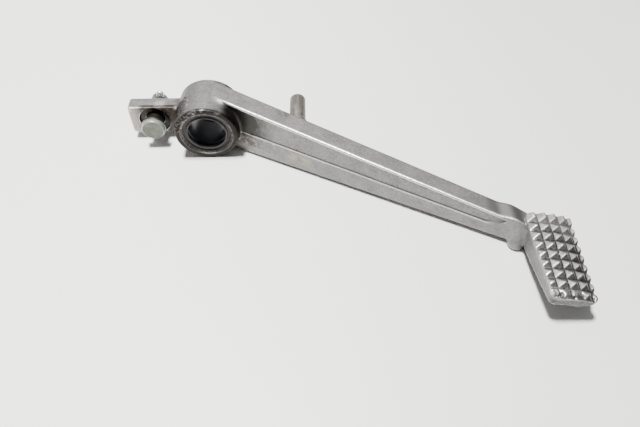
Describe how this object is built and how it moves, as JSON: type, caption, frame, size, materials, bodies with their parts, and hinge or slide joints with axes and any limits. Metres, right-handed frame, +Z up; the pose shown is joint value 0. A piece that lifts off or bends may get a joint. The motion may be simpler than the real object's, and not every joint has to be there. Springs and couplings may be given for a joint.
{
  "type": "motorcycle foot brake pedal",
  "caption": "Forged foot brake pedal with a tubular pivot boss, tapered arm, ribbed foot pad, spring peg and a rear lug with a fork pin.",
  "frame": {"origin": "on the pivot axis at the middle of the boss's length", "axes": "+Y along the pivot from the outer face to the face beside the machine, +X towards the foot pad, +Z up as the pedal lies on its boss and toe"},
  "size_m": [0.1887, 0.1188, 0.0286],
  "materials": {
    "forged_aluminium": "shot-blasted forging, matt",
    "bush_bronze": "worn sliding layer with grease",
    "seal_steel": "plain pressed steel",
    "seal_rubber": "dusty moulded rubber",
    "peg_steel": "worn turned steel",
    "plated_steel": "dull zinc plating",
    "cotter_steel": "drawn wire"
  },
  "bodies": {
    "pedal": {"pedal_arm": "forged_aluminium", "pivot_bush": "bush_bronze", "outer_seal_case": "seal_steel", "outer_seal_lip": "seal_rubber", "inner_seal_case": "seal_steel", "inner_seal_lip": "seal_rubber", "spring_peg": "peg_steel"},
    "fork_washer": {"clevis_washer": "plated_steel"},
    "fork_pin": {"clevis_pin": "plated_steel", "cotter_pin": "cotter_steel"}
  },
  "joints": [
    {"name": "pin_float", "type": "slide", "parent": "pedal", "child": "fork_washer", "axis": [0, 1, 0], "range_m": [-0.0031, 0.005]},
    {"name": "pin_turn", "type": "hinge", "parent": "fork_washer", "child": "fork_pin", "pos_m": [-0.026, 0.005, -0.0035], "axis": [0, 1, 0], "continuous": true}
  ]
}
